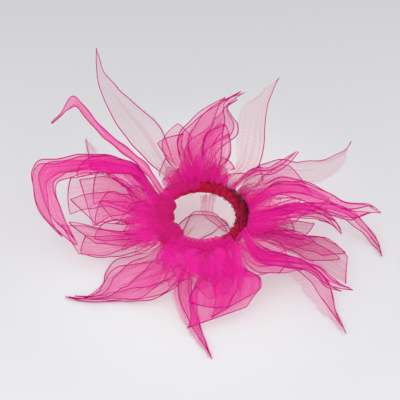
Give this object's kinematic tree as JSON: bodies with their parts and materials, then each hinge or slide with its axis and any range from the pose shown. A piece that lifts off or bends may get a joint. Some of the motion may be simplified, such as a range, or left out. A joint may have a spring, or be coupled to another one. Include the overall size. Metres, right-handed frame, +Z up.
{
  "type": "organza hair scrunchie",
  "caption": "Elastic hair tie with a covered band and a crown of sheer pointed organza tails, loops and frills that stand out round it.",
  "frame": {"origin": "on the table, on the axis of the band, where the under sheet lies flat below the hole", "axes": "+Z up along the band's axis, +X to the right-hand tails, +Y to the back, where the tall spikes and the ruffle stand"},
  "size_m": [0.2441, 0.2145, 0.0825],
  "materials": {
    "organza": "sheer plain-weave organza, one layer",
    "gathered_organza": "organza gathered until it is nearly opaque",
    "crimson_knit": "brushed, slightly fuzzy knitted cover",
    "dark_thread": "matt sewing thread",
    "elastic_rubber": "matt",
    "joiner_steel": "satin"
  },
  "bodies": {
    "band": {"elastic_core": "elastic_rubber", "core_joiner": "joiner_steel", "band_cover": "crimson_knit", "seam_thread": "dark_thread", "binding_thread": "dark_thread", "wrap_left": "gathered_organza", "wrap_back": "gathered_organza", "wrap_front": "gathered_organza", "frill_left": "gathered_organza", "frill_back": "gathered_organza", "frill_right": "gathered_organza", "frill_front": "gathered_organza", "bow_loop": "gathered_organza", "right_low_strand": "organza", "back_left_low_tail": "organza", "left_broad_tail": "organza", "left_lower_tail": "organza", "front_left_tail": "organza", "front_spike": "organza", "front_square_tail": "organza", "front_right_spike": "organza", "right_grey_tail": "organza", "under_sheet": "organza", "under_strip": "organza"},
    "right_claw": {"right_claw": "organza"},
    "right_long_tail": {"right_long_tail": "organza"},
    "right_curved_spike": {"right_curved_spike": "organza"},
    "upper_right_claw": {"upper_right_claw": "organza"},
    "back_right_spike": {"back_right_spike": "organza"},
    "back_petal": {"back_petal": "organza"},
    "back_ruffle": {"back_ruffle": "organza"},
    "back_left_spike": {"back_left_spike": "organza"},
    "curled_strip": {"curled_strip": "organza"},
    "left_loop": {"left_loop": "organza"},
    "right_hooked_tail": {"right_hooked_tail": "organza"},
    "bow_end": {"bow_end": "organza"}
  },
  "joints": [
    {"name": "right_claw_lift", "type": "hinge", "parent": "band", "child": "right_claw", "pos_m": [0.03386, -0.00476, 0.0274], "axis": [-0.1392, -0.9903, 0], "range_deg": [-12, 3]},
    {"name": "right_long_tail_lift", "type": "hinge", "parent": "band", "child": "right_long_tail", "pos_m": [0.03344, 0.00711, 0.0274], "axis": [0.2079, -0.9781, 0], "range_deg": [-3, 15]},
    {"name": "right_curved_spike_lift", "type": "hinge", "parent": "band", "child": "right_curved_spike", "pos_m": [0.02867, 0.01862, 0.0274], "axis": [0.5446, -0.8387, 0], "range_deg": [-10, 15]},
    {"name": "upper_right_claw_lift", "type": "hinge", "parent": "band", "child": "upper_right_claw", "pos_m": [0.02332, 0.025, 0.0274], "axis": [0.7314, -0.682, 0], "range_deg": [-6, 30]},
    {"name": "back_right_spike_lift", "type": "hinge", "parent": "band", "child": "back_right_spike", "pos_m": [0.01812, 0.02899, 0.0274], "axis": [0.848, -0.5299, 0], "range_deg": [-20, 6]},
    {"name": "back_petal_lift", "type": "hinge", "parent": "band", "child": "back_petal", "pos_m": [0.00711, 0.03344, 0.0274], "axis": [0.9781, -0.2079, 0], "range_deg": [-2, 20]},
    {"name": "back_ruffle_lift", "type": "hinge", "parent": "band", "child": "back_ruffle", "pos_m": [-0.00119, 0.03417, 0.0274], "axis": [0.9994, 0.0349, 0], "range_deg": [-20, 3]},
    {"name": "back_left_spike_lift", "type": "hinge", "parent": "band", "child": "back_left_spike", "pos_m": [-0.01605, 0.03019, 0.0274], "axis": [0.8829, 0.4695, 0], "range_deg": [-15, 20]},
    {"name": "curled_strip_lift", "type": "hinge", "parent": "band", "child": "curled_strip", "pos_m": [-0.0273, 0.02058, 0.0274], "axis": [0.6018, 0.7986, 0], "range_deg": [-15, 25]},
    {"name": "left_loop_lift", "type": "hinge", "parent": "band", "child": "left_loop", "pos_m": [-0.0317, 0.01281, 0.0274], "axis": [0.3746, 0.9272, 0], "range_deg": [-10, 15]},
    {"name": "right_hooked_tail_lift", "type": "hinge", "parent": "band", "child": "right_hooked_tail", "pos_m": [0.02931, -0.01761, 0.0274], "axis": [-0.515, -0.8572, 0], "range_deg": [-10, 30]},
    {"name": "bow_end_lift", "type": "hinge", "parent": "band", "child": "bow_end", "pos_m": [0.01862, -0.02867, 0.0274], "axis": [-0.8387, -0.5446, 0], "range_deg": [0, 20]}
  ]
}
